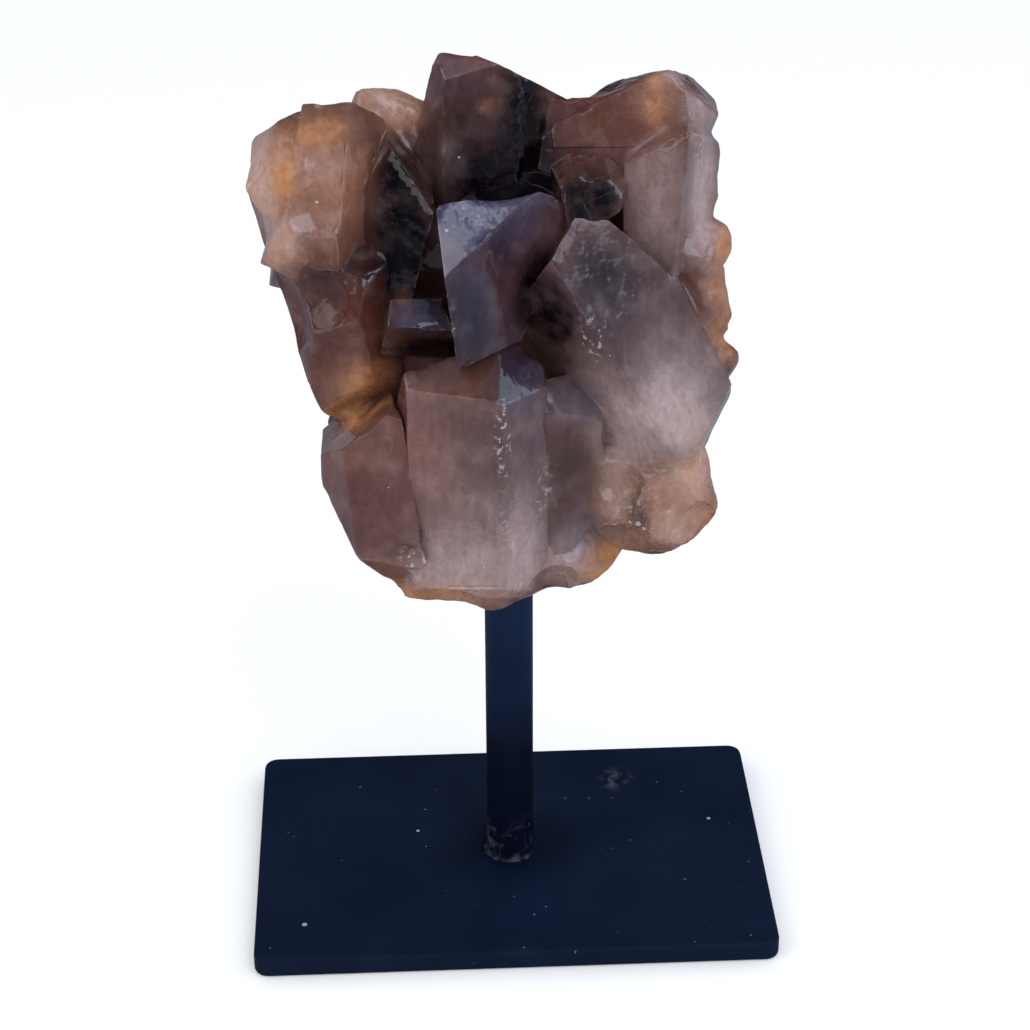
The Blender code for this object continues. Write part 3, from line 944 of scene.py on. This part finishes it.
def relief_heights(points, near_edge, soft, settings):
    """How far each point rises, in millimetres: a swell of smooth noise, scallops where the stone is
    broken, and nicks along the edges where noise is above a level."""
    nick = np.clip((layered_noise(points, *NICK_NOISE) - NICK_START) * NICK_GAIN, 0, 1)
    swell = layered_noise(points, *SWELL_NOISE) - 0.5
    rubble = sum(
        share * (scallops(points, size, seed) - RUBBLE_MEAN) for size, seed, share in RUBBLE
    )
    raised = swell * (LEAST_SWELL + soft) * settings.swell_height / MM
    raised += rubble * spots(points, SPOTS["broken"]) * settings.broken_depth / MM
    return raised - near_edge * nick * settings.chip_depth / MM


def write_tints(mesh, middles, facet, crispness, evenness):
    """The spots' strength on each triangle, drawn towards its facet's mean, and the facet's tone."""
    facet = np.unique(facet, return_inverse=True)[1].reshape(-1)
    size = np.maximum(np.bincount(facet), 1)
    for name, table in SPOTS.items():
        strength = spots(middles, table)
        if name in FACET_TINTS:
            mean = (np.bincount(facet, strength) / size)[facet]
            strength += evenness * crispness * (mean - strength)
        write_attribute(mesh, name, strength, "FACE")
    tone = np.random.default_rng(TONE_SEED).uniform(-1, 1, len(size))[facet]
    write_attribute(mesh, "facet_tone", tone * crispness, "FACE")


class StoneMaker(bpy.types.Operator):
    """Turns the plain cluster into a chipped, broken and weathered one"""

    bl_idname = "quartz.make_stone"
    bl_label = "Make the stone"

    def execute(self, context):
        settings = context.scene.quartz_stone
        points, triangles = merged_arrays("quartz_cluster")
        crisp = crisp_edges(points, triangles)
        facet = facets_of(points, triangles, crisp)
        longest = settings.detail / MM
        points, triangles, facet, crisp = halved(points, triangles, facet, crisp, longest)
        on_edge = np.zeros(len(points))
        on_edge[crisp.reshape(-1)] = 1.0
        near_edge = np.maximum(on_edge, spread(on_edge, triangles, 1))
        soft = np.clip(spots(points, SPOTS["soft"]) * SOFT_GAIN, settings.least_softness, 1)
        points = softened(points, triangles, soft, settings.soft_rounds)
        shell = scoop_rims(points, RIMMED_SCOOPS)
        points = scooped(points, RIMMED_SCOOPS + WORN_SCOOPS)
        points = softened(points, triangles, soft, 1)
        normals = point_normals(points, triangles)
        raised = relief_heights(points, near_edge, soft, settings)
        points = points + normals * raised[:, None]
        mesh = mesh_of("quartz", points, triangles)
        mark_crisp(mesh, crisp[soft[crisp].min(1) < CRISP_SOFTNESS])
        middles, crispness = points[triangles].mean(1), 1 - soft[triangles].mean(1)
        write_tints(mesh, middles, facet, crispness, settings.facet_evenness)
        write_attribute(mesh, "clouds", layered_noise(points, *CLOUD_NOISE))
        # Rim: bulging crisp edges and fresh break rims, painted pale as bruising and partly as a
        # highlight.
        around = neighbour_mean(points, triangles)
        bulge = ((points - around) * normals).sum(1) / settings.rim_bulge * MM
        rim = on_edge * np.clip(bulge, 0, 1) * np.clip(RIM_REACH - soft, 0, 1)
        write_attribute(mesh, "rim", np.maximum(rim, shell))
        mesh.materials.append(quartz_material(settings))
        stone = new_object("quartz_crystals", mesh)
        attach(stone, "root")
        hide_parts("quartz_cluster")
        return {"FINISHED"}


class StandMaker(bpy.types.Operator):
    """Coats the post and the plate and welds them together"""

    bl_idname = "quartz.make_stand"
    bl_label = "Make the stand"

    def execute(self, context):
        settings = context.scene.quartz_stand
        coats = {
            "post": coat_material("post_coat", settings, settings.post_lit_pale, post_marks, 0.02),
            "base_plate": coat_material(
                "plate_coat", settings, settings.coat_pale, plate_marks, 0.03
            ),
        }
        for node, material in coats.items():
            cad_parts[node].data.materials.clear()
            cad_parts[node].data.materials.append(material)
        self.weld(settings, coats["post"])
        return {"FINISHED"}

    def weld(self, settings, material):
        """A fillet round the foot of the post: a quarter circle's hollow curve carried round a ring,
        its reach waving with the angle as the beads of a weld do."""
        rings, steps = 9, 96
        share = np.linspace(0, 1, rings)[:, None]
        angle = np.linspace(0, 2 * np.pi, steps, endpoint=False)[None, :]
        wave = 1 + 0.12 * np.sin(11 * angle) + 0.08 * np.sin(5 * angle + 1)
        side, top = POST_HIGH.x - WELD_BITE, PLATE_HIGH.z - WELD_BITE
        out = settings.weld_width * wave * (1 - np.sin(share * np.pi / 2)) + side
        up = settings.weld_height * wave * (1 - np.cos(share * np.pi / 2)) + top
        points = np.stack((out * np.cos(angle), out * np.sin(angle), up + 0 * angle), axis=-1)
        ring, step = np.meshgrid(np.arange(rings - 1), np.arange(steps), indexing="ij")
        here = ring * steps + step
        beside = ring * steps + (step + 1) % steps
        faces = np.stack((here, beside, beside + steps, here + steps), axis=-1).reshape(-1, 4)
        mesh = mesh_of("weld", points.reshape(-1, 3) / MM, faces)
        mesh.shade_smooth()
        mesh.materials.append(material)
        bead = new_object("weld_bead", mesh)
        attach(bead, "root")


class StageMaker(bpy.types.Operator):
    """Lays the floor, hangs the lights and stands the camera"""

    bl_idname = "quartz.make_stage"
    bl_label = "Make the stage"

    def execute(self, context):
        settings = context.scene.quartz_stage
        self.floor(settings)
        self.sky(settings)
        for name, (direction, size, share, colour) in SOFTBOXES.items():
            self.softbox(name, direction, size, settings.key_power * share, colour)
        self.camera(settings)
        context.scene.view_settings.view_transform = "Standard"
        return {"FINISHED"}

    def floor(self, settings):
        """A wide square just under the plate."""
        reach = settings.floor_size / 2 / MM
        square = np.array([[-1, -1, 0], [1, -1, 0], [1, 1, 0], [-1, 1, 0]])
        mesh = mesh_of("floor", square * reach - [0, 0, FLOOR_DROP], [[0, 1, 2, 3]])
        material, bench, shader, _ = new_material("pale_floor")
        path = bench.tree.nodes.new("ShaderNodeLightPath").outputs
        seen = bench.math("MAXIMUM", path["Is Glossy Ray"], path["Is Transmission Ray"])
        colour = bench.mix(seen, settings.floor_colour, settings.floor_shade)
        bench.feed_all(shader, Base_Color=colour, Roughness=0.9, Specular_IOR_Level=0.1)
        mesh.materials.append(material)
        new_object("floor", mesh)

    def sky(self, settings):
        """Even white walls that turn a little blue overhead."""
        world = bpy.data.worlds.new("studio")
        bpy.context.scene.world = world
        world.use_nodes = True
        bench = NodeBench(world.node_tree)
        background = bench.tree.nodes["Background"]
        direction = bench.tree.nodes.new("ShaderNodeTexCoord").outputs["Generated"]
        seen = bench.tree.nodes.new("ShaderNodeLightPath").outputs["Is Glossy Ray"]
        facing = bench.add("ShaderNodeSeparateXYZ", Vector=direction).outputs
        colour = bench.mix(bench.ramp(facing["Z"], 0.0, 0.9), WALL_LOW, WALL_HIGH)
        colour = bench.mix(bench.product(seen, 0.8), colour, settings.window_colour)
        apart = bench.distance(direction, settings.window_direction)
        window = bench.ramp(apart, 0.25, 0.75, 1.0, 0.0)
        window = bench.product(window, settings.window_strength)
        walls = bench.ramp(facing["Y"], -0.3, 0.6, settings.sky_gloss, settings.sky_gloss * 0.1)
        patches = bench.ramp(bench.noise(direction, 1.6, 2), 0.4, 0.65, 0.3, 1.7)
        gloss = bench.math("ADD", bench.product(patches, walls), window)
        plain = bench.product(bench.math("SUBTRACT", 1.0, seen), settings.sky_strength)
        strength = bench.math("ADD", plain, bench.product(seen, gloss))
        bench.feed_all(background, Color=colour, Strength=strength)

    def softbox(self, name, direction, size, power, colour):
        """A square soft light, turned to the stone."""
        light = bpy.data.lights.new(name, "AREA")
        light.shape = "SQUARE"
        light.size = size
        light.energy = power
        light.color = colour
        lamp = new_object(name, light)
        outward = Vector(direction).normalized()
        turn = outward.to_track_quat("Z", "Y").to_matrix().to_4x4()
        lamp.matrix_world = Matrix.Translation(LIT_PLACE + outward * LAMP_DISTANCE) @ turn

    def camera(self, settings):
        """The photograph's place: back from the aim point, along its height and side angles."""
        side, height = settings.camera_side, settings.camera_height
        back = Vector(
            (math.sin(side) * math.cos(height), -math.cos(side) * math.cos(height), math.sin(height))
        )
        right = (-back).cross(Vector((0, 0, 1))).normalized()
        up = right.cross(-back)
        roll = settings.camera_roll
        across = right * math.cos(roll) + up * math.sin(roll)
        above = up * math.cos(roll) - right * math.sin(roll)
        data = bpy.data.cameras.new("camera")
        data.lens = settings.lens
        data.sensor_width = SENSOR_WIDTH
        data.clip_start = 0.01
        camera = new_object("camera", data)
        turn = Matrix((across, above, back)).transposed().to_4x4()
        camera.matrix_world = Matrix.Translation(CAMERA_AIM + back * settings.camera_distance) @ turn
        bpy.context.scene.camera = camera


class QuartzPanel(bpy.types.Panel):
    """Lists the makers and their settings"""

    bl_idname = "VIEW3D_PT_quartz"
    bl_label = "Smoky quartz on stand"
    bl_space_type = "VIEW_3D"
    bl_region_type = "UI"
    bl_category = "Quartz"

    def draw(self, context):
        for maker, _, name in MAKERS:
            box = self.layout.box()
            box.operator(maker.bl_idname)
            settings = getattr(context.scene, name)
            for setting in settings.bl_rna.properties.keys():
                if setting not in ("rna_type", "name"):
                    box.prop(settings, setting)


MAKERS = (
    (StoneMaker, StoneSettings, "quartz_stone"),
    (StandMaker, StandSettings, "quartz_stand"),
    (StageMaker, StageSettings, "quartz_stage"),
)


def register():
    """Makes the settings, makers and panel known to Blender."""
    for maker, group, name in MAKERS:
        bpy.utils.register_class(group)
        setattr(bpy.types.Scene, name, bpy.props.PointerProperty(type=group))
        bpy.utils.register_class(maker)
    bpy.utils.register_class(QuartzPanel)


def unregister():
    """Takes them out again."""
    bpy.utils.unregister_class(QuartzPanel)
    for maker, group, name in reversed(MAKERS):
        bpy.utils.unregister_class(maker)
        delattr(bpy.types.Scene, name)
        bpy.utils.unregister_class(group)


def main():
    register()
    bpy.ops.quartz.make_stone()
    bpy.ops.quartz.make_stand()
    bpy.ops.quartz.make_stage()


if __name__ == "__main__":
    main()
